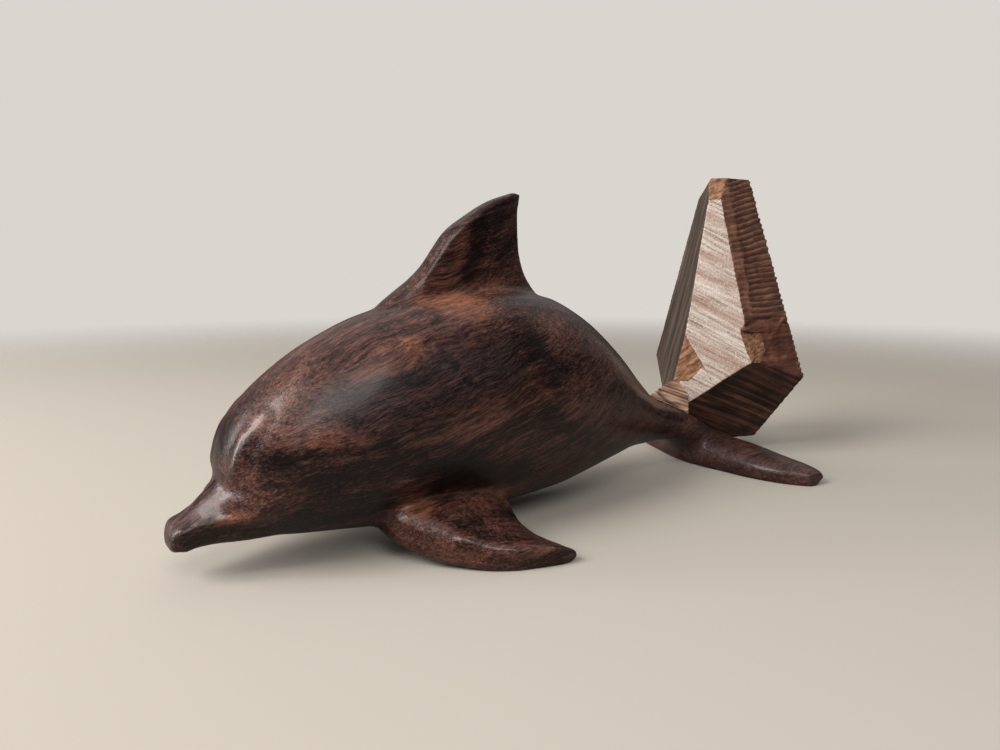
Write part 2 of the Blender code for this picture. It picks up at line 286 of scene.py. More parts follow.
for name, lamp in LAMPS.items():
    data = bpy.data.lights.new(name, "AREA")
    data.shape, data.size, data.size_y = "RECTANGLE", lamp["width"], lamp["tall"]
    data.energy, data.color = lamp["power"], lamp["colour"]
    way = Vector(outward(lamp["heading"], lamp["height"]))
    light = bpy.data.objects.new(name, data)
    light.location = AIM + lamp["distance"] * way
    roll = Quaternion((0, 0, 1), math.radians(lamp["roll"]))
    light.rotation_euler = (way.to_track_quat("Z", "Y") @ roll).to_euler()
    bpy.context.scene.collection.objects.link(light)
    print(name, "at", [round(value, 2) for value in light.location])

# %% Light the room
ROOM_BRIGHT, ROOM_DARK = 0.50, 0.05
ROOM_COLOUR = (1.0, 0.97, 0.94)
BEHIND_FADES = (0.1, -0.8)
UPWARD_FADES = (0.05, 0.55)

room = Finish("room", "worlds")
bpy.context.scene.world = room.made
way = room.add("ShaderNodeTexCoord", output="Generated")
to_camera = tuple((camera.location * Vector((1, 1, 0))).normalized())
facing_camera = room.vector("DOT_PRODUCT", way, to_camera, output="Value")
upward = room.vector("DOT_PRODUCT", way, (0, 0, 1), output="Value")
behind = room.step(facing_camera, *BEHIND_FADES) * room.step(upward, *UPWARD_FADES)
strength = ROOM_DARK + (ROOM_BRIGHT - ROOM_DARK) * behind
seen = room.add("ShaderNodeBackground", None, {"Color": (*BACKGROUND, 1)})
unseen = room.add("ShaderNodeBackground", None, {"Color": (*ROOM_COLOUR, 1), "Strength": strength})
blend = room.add("ShaderNodeMixShader", None, {0: room.camera_ray(), 1: unseen, 2: seen}, "Shader")
room.add("ShaderNodeOutputWorld", None, {"Surface": blend})
bpy.context.scene.view_settings.view_transform = "Standard"
print("room light from", ROOM_DARK, "to", ROOM_BRIGHT)

# %% [markdown]
# ## One skin for the whole dolphin
# The real dolphin is one piece of wood, so its fins grow out of the body with soft hollows and no
# seam. The solids have a narrow gap round each fin, and flat faces where a knife would leave none.
# A voxel remesh of all five, swollen just enough to close the gaps, gives one even mesh.

# %% Copy the solids and melt them together
DOLPHIN = ("body", "dorsal_fin", "left_pectoral_fin", "right_pectoral_fin", "tail_flukes")
SWELL = 0.20 * MM
SKIN_VOXEL = 0.55 * MM
MERGE = 0.002 * MM


def merged_copy(name, swell=0.0):
    """A bmesh of a solid, its loose triangles merged and its surface pushed out by swell."""
    copy = bmesh.new()
    copy.from_mesh(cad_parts[name].data)
    bmesh.ops.remove_doubles(copy, verts=copy.verts, dist=MERGE)
    copy.normal_update()
    for vert in copy.verts:
        vert.co += vert.normal * swell
    return copy


def object_of(name, shape):
    mesh = bpy.data.meshes.new(name)
    shape.to_mesh(mesh)
    made = bpy.data.objects.new(name, mesh)
    bpy.context.scene.collection.objects.link(made)
    return made


def with_modifiers(made):
    """The bmesh that an object's modifiers give. The object itself goes."""
    view = bpy.context.evaluated_depsgraph_get()
    mesh = bpy.data.meshes.new_from_object(made.evaluated_get(view))
    shape = bmesh.new()
    shape.from_mesh(mesh)
    bpy.data.objects.remove(made)
    bpy.data.meshes.remove(mesh)
    return shape


def islands_of(shape):
    """The points of a bmesh, sorted into lists that hang together, the largest list last."""
    seen, islands = set(), []
    for seed in shape.verts:
        if seed in seen:
            continue
        seen.add(seed)
        island, queue = [], [seed]
        while queue:
            vert = queue.pop()
            island.append(vert)
            for edge in vert.link_edges:
                other = edge.other_vert(vert)
                if other not in seen:
                    seen.add(other)
                    queue.append(other)
        islands.append(island)
    return sorted(islands, key=len)


def remeshed(name, shapes, voxel):
    """One mesh of small squares round all the shapes. Hollows inside it are dropped."""
    whole = bmesh.new()
    for shape in shapes:
        mesh = bpy.data.meshes.new(name)
        shape.to_mesh(mesh)
        whole.from_mesh(mesh)
        bpy.data.meshes.remove(mesh)
    holder = object_of(name, whole)
    remesh = holder.modifiers.new("remesh", "REMESH")
    remesh.mode, remesh.voxel_size = "VOXEL", voxel
    shape = with_modifiers(holder)
    *hollows, _ = islands_of(shape)
    for hollow in hollows:
        bmesh.ops.delete(shape, geom=hollow, context="VERTS")
    print(name, "remeshed:", len(shape.verts), "points,", len(hollows), "hollows dropped")
    return shape


skin = remeshed("skin", [merged_copy(name, SWELL) for name in DOLPHIN], SKIN_VOXEL)

# %% [markdown]
# Carving and sanding both move the points of this mesh, and there are far too many of them to move
# one by one. A small class keeps them as arrays, so that a single sum moves them all, and a few
# functions say where on the carving a sum applies.

# %% A way to move thousands of points at once
class Surface:
    """The points and edges of a bmesh as arrays, so that one sum moves them all."""

    def __init__(self, shape):
        shape.verts.ensure_lookup_table()
        shape.verts.index_update()
        self.shape = shape
        self.points = np.array([vert.co for vert in shape.verts])
        self.ends = np.array([[vert.index for vert in edge.verts] for edge in shape.edges])
        self.reach = np.bincount(self.ends.ravel(), minlength=len(self.points)).astype(float)

    def around(self, values):
        """The mean of each point's neighbours."""
        first, second = self.ends.T
        columns = [
            np.bincount(first, values[:, axis][second], len(values))
            + np.bincount(second, values[:, axis][first], len(values))
            for axis in range(values.shape[1])
        ]
        return np.stack(columns, axis=1) / self.reach[:, None]

    def blur(self, values, rounds):
        columns = values.reshape(len(values), -1)
        for _ in range(rounds):
            columns = 0.5 * columns + 0.5 * self.around(columns)
        return columns.reshape(values.shape)

    def rub(self, share, rounds):
        """Moves each point towards its neighbours by a share, which may differ from point to point."""
        share = np.broadcast_to(share, len(self.points))[:, None]
        for _ in range(rounds):
            self.points += share * (self.around(self.points) - self.points)

    def normals(self):
        self.write()
        return np.array([vert.normal for vert in self.shape.verts])

    def write(self):
        for vert, point in zip(self.shape.verts, self.points.tolist()):
            vert.co = point
        self.shape.normal_update()

    def noise(self, lumps, seed, octaves=2, stretch=(1, 1, 1)):
        """Smooth noise, mostly from -1 to 1: so many lumps fit in a metre."""
        shift = Vector((7.1, 3.7, 5.3)) * seed
        places = (self.points * np.array(stretch) * lumps).tolist()
        return np.array([noise.fractal(Vector(place) + shift, 1.0, 2.0, octaves) for place in places])


def slope(values, low, high):
    """0 up to low, 1 from high, and a soft slope between. low may be the larger of the two."""
    share = np.clip((values - low) / (high - low), 0, 1)
    return share * share * (3 - 2 * share)


def from_line(points, line):
    """How far each point is from a line through a few places, all given in mm."""
    corners = np.array(line, float) * MM
    distances = []
    for start, end in zip(corners[:-1], corners[1:]):
        step = end - start
        along = np.clip((points - start) @ step / (step @ step), 0, 1)
        distances.append(np.linalg.norm(points - start - along[:, None] * step, axis=1))
    return np.min(distances, axis=0)


# %% [markdown]
# The carver sanded the dolphin until the flanks ran smooth, and left the edges of the beak and the
# fins crisp. The same happens here. An edge is where the skin turns sharply and bulges, and on the
# beak any sharp turn is one. Everything else is rubbed hard, and what that took off a whole bulge is
# given back as a soft layer, so that only the flat faces and the steps of the squares go.

# %% Rub it smooth
RUB_SHARE = 0.5  # how much of the way to its neighbours' middle a point goes in one round
EVENING_ROUNDS, SANDING_ROUNDS, GIVING_BACK_ROUNDS = 2, 60, 120
TURNING_BLUR, BULGE_BLUR, EDGE_BLUR = 8, 6, 2
EDGE_TURNING = (0.012, 0.045)
EDGE_BULGE = 0.02 * MM
EDGE_GAIN = 1.5
BEAK_FADES = (BEAK_TIP + 42 * MM, BEAK_TIP + 30 * MM)

surface = Surface(skin)
surface.rub(RUB_SHARE, EVENING_ROUNDS)
facing = surface.normals()
turning = 1 - np.linalg.norm(surface.blur(facing, TURNING_BLUR), axis=1)
bulge = ((surface.points - surface.blur(surface.points, BULGE_BLUR)) * facing).sum(axis=1)
on_beak = slope(surface.points[:, 0], *BEAK_FADES)
crisp = slope(turning, *EDGE_TURNING) * np.maximum(slope(bulge, 0, EDGE_BULGE), on_beak)
crisp = np.clip(surface.blur(crisp, EDGE_BLUR) * EDGE_GAIN, 0, 1)
before = surface.points.copy()
surface.rub(RUB_SHARE * (1 - crisp), SANDING_ROUNDS)
taken = before - surface.points
surface.points += (1 - crisp)[:, None] * surface.blur(taken, GIVING_BACK_ROUNDS)
surface.rub(RUB_SHARE, EVENING_ROUNDS)
print("rubbed smooth; crisp edges keep", round(float((crisp > 0.5).mean()) * 100), "% of the points")

# %% [markdown]
# Sandpaper takes wood away, and here too the bulges have sunk a little below the solids. Each point
# looks for the nearest solid surface. Where it lies inside, the skin is pushed out again, by a
# blurred amount so that it stays smooth. Where it lies outside it fills a hollow, and stays.

# %% Bring the bulges back out to the solids
PUSHES, PUSH_BLUR = 2, 12
surface.points -= SWELL * surface.normals()
solid_trees = {name: BVHTree.FromBMesh(merged_copy(name)) for name in DOLPHIN}


def sunk(points, facing):
    """How deep each point lies below the nearest solid surface. 0 where it lies above."""
    depths = []
    for point, way in zip(points.tolist(), facing):
        found = min((tree.find_nearest(point) for tree in solid_trees.values()), key=lambda hit: hit[3])
        depths.append(max(np.dot(np.array(found[0]) - point, way), 0))
    return np.array(depths)


for _ in range(PUSHES):
    facing = surface.normals()
    depth = sunk(surface.points, facing)
    surface.points += surface.blur(depth, PUSH_BLUR)[:, None] * facing
print("sunk by at most", round(float(depth.max()) / MM, 2), "mm")

# %% [markdown]
# The knife left a few lines of its own. The forehead is a little fuller than the solid's. A ridge
# comes down its side to the beak, where a fine crease runs round the beak's root, with a soft shoulder
# in front of it. Where two strokes of the knife met, there is a crisp edge: along both sides of the
# beak and down the corners of its end, up the front of the dorsal fin, and along the flippers, whose
# edge starts as a bevelled shoulder. The flukes have only a hint of one. Boolean cuts would leave such
# lines hard. So each is a line through a few places, and the skin near it is raised or lowered by a
# section that is soft, bevelled or crisp. The lines are those of the left side, and the right side
# gets the same.

# %% Carve the lines
CARVED_LINES = {  # a line in mm, how high it rises, how far it reaches to each side, and its section
    "forehead": ([(-93, 0, 34), (-86, 0, 44), (-74, 0, 52), (-60, 0, 58), (-50, 0, 61)], 0.7, 17, "soft"),
    "crease": ([(-91.5, -12.6, 18), (-93, -10.8, 20.5), (-95, -7.8, 22.6)], -0.40, 2.2, "soft"),
    "forehead ridge": ([(-89.2, -8.5, 37.4), (-92.6, -8, 33), (-94.8, -7.3, 26.5)], 0.42, 3.8, "soft"),
    "ridge's foot": ([(-92.4, -8.1, 33.3), (-93.8, -7.7, 30), (-94.9, -7.3, 26)], 0.34, 3.2, "soft"),
    "beak shoulder": ([(-97.5, -6.5, 19.2), (-95, -9.2, 18.8), (-92.6, -11.4, 19)], 0.65, 3.2, "soft"),
    "beak edge": (
        [(-106, -3.4, 13), (-103, -4.4, 14), (-100, -6, 14.3), (-93, -10.5, 16), (-90, -13, 18.5)],
        1.3, 3.8, "crisp",
    ),
    "beak end": ([(-106, -3.4, 13), (-105.5, -3.8, 8.5)], 0.85, 3.2, "crisp"),
    "dorsal edge": (
        [(-13, -0.8, 89), (-24, -1.5, 85), (-30, -2, 81), (-35, -2, 77), (-40, -1.8, 71), (-43, -2, 67)],
        0.60, 3.8, "crisp",
    ),
    "flipper edge": ([(-51, -32, 7.5), (-45, -37, 5.5), (-36, -41, 4), (-27, -44, 3)], 0.90, 4.0, "crisp"),
    "flipper shoulder": (
        [(-59, -21, 13), (-57, -24, 11.8), (-54, -28, 9.4), (-51, -32, 7.5)], 1.0, 4.6, "bevelled",
    ),
    "fluke edge": ([(66, -16, 4), (70, -35, 2), (73, -43, 1.5)], 0.15, 3.6, "soft"),
}
SECTIONS = {
    "soft": lambda near: slope(near, 0, 1),
    "bevelled": lambda near: np.clip(near, 0, 1),
    "crisp": lambda near: np.clip(near, 0, 1) ** 2,
}


def on_the_left(points):
    folded = points.copy()
    folded[:, 1] = -np.abs(folded[:, 1])
    return folded


facing = surface.normals()
for name, (line, rise, half_width, section) in CARVED_LINES.items():
    near = 1 - from_line(on_the_left(surface.points), line) / (half_width * MM)
    surface.points += (rise * MM * SECTIONS[section](near))[:, None] * facing
    print(name, "carved,", rise, "mm")
surface.points[:, 2] = np.maximum(surface.points[:, 2], 0)
surface.write()

# %% [markdown]
# ## The skin cut into the dolphin's parts
# The part stays an assembly, so the skin is cut along the roots of the fins again. Each face goes to
# the solid that lies nearest. A cut is closed with a fan of faces, and every piece keeps the normals
# of the whole skin, so the light runs across the cuts as if they weren't there.

# %% Cut and close
skin.faces.ensure_lookup_table()
owner = [
    min(DOLPHIN, key=lambda name: solid_trees[name].find_nearest(face.calc_center_median())[3])
    for face in skin.faces
]
kept_normal = skin.verts.layers.float_vector.new("skin_normal")
for vert in skin.verts:
    vert[kept_normal] = vert.normal
whole_skin = bpy.data.meshes.new("whole_skin")
skin.to_mesh(whole_skin)


def cut_piece(name):
    shape = bmesh.new()
    shape.from_mesh(whole_skin)
    others = [face for face, whose in zip(shape.faces, owner) if whose != name]
    bmesh.ops.delete(shape, geom=others, context="FACES")
    skin_faces = len(shape.faces)
    rim = [edge for edge in shape.edges if edge.is_boundary]
    caps = bmesh.ops.holes_fill(shape, edges=rim, sides=0)["faces"]
    bmesh.ops.poke(shape, faces=caps)
    for face in shape.faces:
        face.smooth = True
    piece = object_of(name + "_carved", shape)
    mesh = piece.data
    kept = np.zeros(len(mesh.vertices) * 3)
    mesh.attributes["skin_normal"].data.foreach_get("vector", kept)
    kept = kept.reshape(-1, 3)
    normals = []
    for face in mesh.polygons:
        flat = tuple(face.normal)
        for corner in face.vertices:
            normals.append(tuple(kept[corner]) if face.index < skin_faces else flat)
    mesh.normals_split_custom_set(normals)
    print(piece.name, len(mesh.polygons), "faces,", len(caps), "cuts closed")
    return piece


pieces = {name: cut_piece(name) for name in DOLPHIN}

# %% [markdown]
# ## The block at the tail
# The block is the blank that the dolphin came out of. Its walls are saw cuts, and each has its own
# skin: a pale dry front, a satin left wall, and a right wall that the saw left ribbed. The solid has
# the saw cuts already, and each is known by the way it faces. How far out it lies is measured on the
# solid's own faces, so the marks that follow stay on a wall when the wall is moved.

# %% Find the saw cuts
SAW_CUTS = {  # the heading that each faces and how far it looks up, in degrees
    "pale front": (222, 8),
    "left wall": (152, 10.2),
    "left shoulder": (130, 30),
    "right wall": (262, 14),
    "rear wall": (8, 6.5),
    "far wall": (95, 13.4),
    "top": (0, 90),
    "front undercut": (250, -29.5),
    "rear undercut": (0, -10),
    "far undercut": (100, -40),
    "left undercut": (125, -18.7),
    "root near side": (269, 37),
    "root far side": (106, 20),
}
SAME_WAY = 0.9999

block_solid = merged_copy("tail_block")
block_planes = {}
for cut, facing_degrees in SAW_CUTS.items():
    way = outward(*facing_degrees)
    found = [face for face in block_solid.faces if np.dot(face.normal, way) > SAME_WAY]
    area = sum(face.calc_area() for face in found)
    reach = sum(face.calc_area() * np.dot(face.calc_center_median(), way) for face in found) / area
    block_planes[cut] = (way, reach)
    print(f"{cut}: {area / MM ** 2:.0f} mm2, {reach / MM:.1f} mm out")

# %% [markdown]
# Wood has torn out in three places. A torn place is a notch: the wood outside one sloping plane is
# gone, up to a step where the fibres broke. Each notch is a cube with the planes' inner sides sawn
# off it, taken from the block by a Boolean.

# %% Tear the notches out
TORN = {  # planes, each by a place on it in mm and the way it faces; the first is the torn face
    "chip": [
        ((68.3, 3.8, 45.0), (209.4, 0)),
        ((67.9, 0.9, 29.3), (124.7, 41.9)),
        ((67.9, 0.9, 29.4), (0, 90)),
    ],
    "tear": [
        ((81.5, -10.2, 48.2), (257.2, 19.1)),
        ((81.5, -10.2, 48.2), (180, -81.4)),
        ((93.2, 0, 0), (180, 0)),
    ],
    "cap": [((79.8, 1.5, 94.7), (222, 28))],
}
NOTCH_SIZE = 60 * MM
ON_PLANE = 0.001 * MM
BLOCK_SWELL = 0.15 * MM


def notch_of(planes):
    notch = bmesh.new()
    middle = Vector(planes[0][0]) * MM
    bmesh.ops.create_cube(notch, size=NOTCH_SIZE, matrix=Matrix.Translation(middle))
    for point, way in planes:
        bmesh.ops.bisect_plane(
            notch, geom=notch.verts[:] + notch.edges[:] + notch.faces[:], dist=ON_PLANE,
            plane_co=Vector(point) * MM, plane_no=outward(*way), clear_inner=True,
        )
        rim = [edge for edge in notch.edges if edge.is_boundary]
        bmesh.ops.holes_fill(notch, edges=rim, sides=0)
    bmesh.ops.recalc_face_normals(notch, faces=notch.faces)
    return notch


block_holder = object_of("block_solid", merged_copy("tail_block", BLOCK_SWELL))
notches = []
for name, planes in TORN.items():
    cutter = object_of(name + "_notch", notch_of(planes))
    notches.append(cutter)
    taking = block_holder.modifiers.new(name, "BOOLEAN")
    taking.operation, taking.solver, taking.object = "DIFFERENCE", "EXACT", cutter
    torn_point, torn_way = planes[0]
    torn_facing = outward(*torn_way)
    block_planes[name] = (torn_facing, float(np.dot(np.array(torn_point) * MM, torn_facing)))
notched = with_modifiers(block_holder)
for cutter in notches:
    bpy.data.objects.remove(cutter)
print("block with", len(TORN), "torn places:", len(notched.faces), "faces")

# %% [markdown]
# The saw's marks are too many and too fine for Booleans, so the block is remeshed finely enough to
# take them as small moves of its points. Each point first has to know which cut it lies on: the one
# whose plane is near and that faces its way. Points on the corners belong to none.

# %% Remesh the block and sort its points by saw cut
BLOCK_VOXEL = 0.42 * MM
TURNED_AWAY = 3 * MM  # a point that faces at right angles to a cut counts as this far from it
TOO_FAR = 1.2 * MM

block = remeshed("block", [notched], BLOCK_VOXEL)
blocky = Surface(block)
blocky.rub(RUB_SHARE, 1)
facing = blocky.normals()
gaps = np.stack([np.abs(blocky.points @ way - reach) for way, reach in block_planes.values()])
turned = np.stack([1 - facing @ way for way, reach in block_planes.values()])
misfit = gaps + TURNED_AWAY * turned
nearest = np.argmin(misfit, axis=0)
nearest[misfit.min(axis=0) > TOO_FAR] = -1
region = {cut: blocky.blur((nearest == index).astype(float), 1) for index, cut in enumerate(block_planes)}
corner = blocky.blur((nearest == -1).astype(float), 2)
for cut, share in region.items():
    print(cut, "has", round(share.sum()), "points")

# %% Group the cuts that look alike
def joined(*cuts):
    return sum(region[cut] for cut in cuts)


x, y, z = blocky.points.T.copy()
right = region["right wall"]
ribbed = joined("right wall", "rear wall", "far wall")
satin = joined("left wall", "left shoulder", "left undercut")
lower = joined("front undercut", "rear undercut", "far undercut")
root = joined("root near side", "root far side")
torn = joined("chip", "cap") + region["tear"] * slope(x, 92 * MM, 89 * MM)
print("ribbed", round(ribbed.sum()), "satin", round(satin.sum()), "lower", round(lower.sum()), "points")

# %% [markdown]
# A coarse saw leaves a rib with every stroke. They lie about level low on the block and climb
# towards the rear higher up, and they wander a little, because an arm drove the saw. A rib rises
# slowly and falls steeply, so its section is a lopsided wave.

# %% Lay out the saw's ribs
RIB_PITCH = 2.0 * MM
CREST = 0.75  # how far along its pitch a rib is highest
CLIMB, CLIMB_BELOW = 0.28, -0.02
CLIMB_STARTS, CLIMB_FULL = 45 * MM, 95 * MM
RIBS_TURN_AT = 90 * MM

wobble = blocky.noise(70, 1)
climb = CLIMB * slope(z, CLIMB_STARTS, CLIMB_FULL) + CLIMB_BELOW
level = z - climb * (x - RIBS_TURN_AT) + (0.9 * wobble + 0.2 * blocky.noise(330, 7)) * MM
phase = (level / RIB_PITCH) % 1
trough = 1 - slope(np.minimum(phase / CREST, (1 - phase) / (1 - CREST)), 0, 1)
print("about", round(float(np.ptp(z)) / RIB_PITCH), "ribs")

# %% [markdown]
# Low on the right wall the wood broke away under an overhang, and the ribs are faint there. The broken part
# ends below in a bright lip of torn fibres. Another lip follows the ragged edge of the pale front, and beside
# it a shallow band runs up the wall. Each is found from a line that follows it, and a noise frays what would
# otherwise be a straight border. The broken wood is tinted, and the same tint paints the shadow under the
# overhang and the shade in the band.

# %% Find the overhang, the broken wood, the lips and the band
OVERHANG = [(78, -3, 47.5), (82, -10.6, 48.6), (85.4, -11.5, 50.6), (93.1, -12.3, 51.6),
            (100.6, -13.6, 51.0), (106, -14, 49.5)]
LIP = [(80, -12, 39), (82, -12.5, 38.6), (87.1, -15.3, 37.2), (94.7, -16.3, 37.2), (101.5, -17.2, 37.6)]
PALE_EDGE = [(36.7, -15.9), (40.1, -12.9), (48.2, -10.2), (50.6, -11.2), (58, -9.6), (67.5, -8.0),
             (76.3, -6.6), (81.2, -3.6), (94.7, -0.2)]  # height and place across, both in mm

frayed = blocky.noise(420, 8)
over_x, _, over_z = np.array(OVERHANG).T
below_overhang = np.interp(x / MM, over_x, over_z) * MM - z - 0.7 * MM * wobble
walled = slope(x, 84 * MM, 86 * MM) * slope(x, 107 * MM, 105 * MM) * slope(y, -5 * MM, -8 * MM)
broken = walled * slope(below_overhang, 0, 1.2 * MM)
# The overhang also marks where a shadow is painted under the step.
overhang = right * slope(from_line(blocky.points, OVERHANG), 1.7 * MM, 0)

edge_z, edge_y = np.array(PALE_EDGE).T
pale_edge = np.interp(z / MM, edge_z, edge_y) * MM
pale_way, pale_reach = block_planes["pale front"]
wall_start = (pale_reach - pale_way[1] * pale_edge - pale_way[2] * z) / pale_way[0]
from_pale = (x - wall_start) / MM + 0.9 * frayed + 0.8 * wobble

lip = slope(from_line(blocky.points, LIP) / MM - 1.1 * frayed, 1.3, -0.1)
lip += right * slope(from_pale, 5.5, 3.5) * slope(z, 51 * MM, 53 * MM)
# The band is later darkened with painted shade.
band = right * slope(from_pale, 4, 6) * slope(from_pale, 20, 9)
band *= slope(z, 50 * MM, 56 * MM) * slope(z, 96 * MM, 84 * MM)
print("lips", round(lip.sum()), "band", round(band.sum()), "broken", round(broken.sum()), "points")

# %% [markdown]
# All of these marks go into the block in one move, with a few more: fine lines that the saw drew
# across the pale front, a hollow in the foot, and a groove along the root of the block. The block was
# swollen a little before its remesh. That comes off again, and the corners, which the remesh had
# rounded, are brought back out.

# %% Take the marks out of the block
LINES_ACROSS, LINES_PITCH = np.array([0.30, -0.34, 0.89]), 1.25 * MM
SCOOP_MIDDLE, SCOOP_RADIUS = np.array([88.6, -8.8, 23.7]) * MM, 17 * MM
GROOVE = [(54.3, 1.5, 26.3), (56.1, -0.1, 24.1), (61.4, -3.5, 19.8)]

lines = np.sin(2 * math.pi * (blocky.points @ LINES_ACROSS + 0.3 * MM * wobble) / LINES_PITCH)
scoop = np.clip(1 - ((blocky.points - SCOOP_MIDDLE) ** 2).sum(axis=1) / SCOOP_RADIUS ** 2, 0, 1)
groove = root * slope(from_line(blocky.points, GROOVE), 2.2 * MM, 0)
rib_depth = (0.40 + 0.22 * blocky.noise(160, 2)) * (1 - 0.8 * broken) * (1 - 0.45 * lip)
taken_out = {  # in mm
    "ribs": rib_depth * trough * ribbed,
    "overhang": 0.7 * overhang,
    "broken wood": 0.25 * broken * right,
    "band": 0.35 * band,
    "lips": -0.25 * lip * right,
    "roughness": 0.10 * blocky.noise(500, 3) * (ribbed + torn),
    "waves on the left wall": 0.12 * blocky.noise(110, 4) * satin,
    "lines on the pale front": 0.035 * (1 + lines) * region["pale front"],
    "scoop": 1.5 * scoop * lower,
    "layers at the foot": 0.12 * blocky.noise(90, 6, 3, (0.5, 1, 3)) * lower,
    "groove": 0.8 * groove,
    "swelling": BLOCK_SWELL / MM,
    "corners": -0.6 * corner * (1 - satin),
}
blocky.points -= sum(taken_out.values())[:, None] * MM * facing
blocky.write()
for name, depth in taken_out.items():
    print(name, round(float(np.min(depth)), 2), "to", round(float(np.max(depth)), 2), "mm")

# %% [markdown]
# The wood has to know about the marks too: it is pale on the front and orange where it tore, and painted
# shade darkens the troughs of the ribs, the groove, the band and the wood under the overhang. A texture
# painted by hand would do it, but attributes on the points need no unwrapping, and they come from the same
# sums as the shape.

# %% Write the block's marks on its points
for face in block.faces:
    face.smooth = True
block_piece = object_of("tail_block_sawn", block)
block_marks = {
    "pale": region["pale front"] * slope(blocky.points[:, 1] - pale_edge, -0.4 * MM, 0.4 * MM),
    "satin": satin,
    "torn": torn,
    "lower": lower,
    "root": root,
    "groove": groove,
    # where painted shade darkens the troughs of the ribs
    "trough": trough * (1 - 0.8 * broken) * (1 - 0.55 * lip),
    # broken wood, with painted shadow under the overhang and painted shade in the band
    "broken": np.clip(broken + overhang + 0.45 * band, 0, 1),
    "lip": lip * walled,
}


def write_mark(mesh, mark, values):
    attribute = mesh.attributes.new(mark, "FLOAT", "POINT")
    attribute.data.foreach_set("value", values.astype(np.float32))


for mark, values in block_marks.items():
    write_mark(block_piece.data, mark, values)
pieces["tail_block"] = block_piece
print("block", len(block_piece.data.polygons), "faces, marks", ", ".join(block_marks))

# %% [markdown]
# ## The oiled wood
# Under the oil the wood runs from near-black to chocolate, with red-brown streaks and a few orange flashes.
# Two things make such figure: the growth layers, which the carving cuts through at every angle, so that they
# show as long lines on the flank and as rings on the forehead, and the fibres, which draw everything out
# along the trunk. The noise below is reckoned along these directions. The marks by which one would know this
# very carving are laid on top, as places that are darker, warmer or more orange than the layers alone would
# make them. A few of them are painted light instead: painted shade in the crease at the beak's root and at
# the flipper's tip by the floor, a painted highlight along the flipper's ridge, and a painted greyish sheen,
# duller than the rest, on the beak, the flank and the flukes.

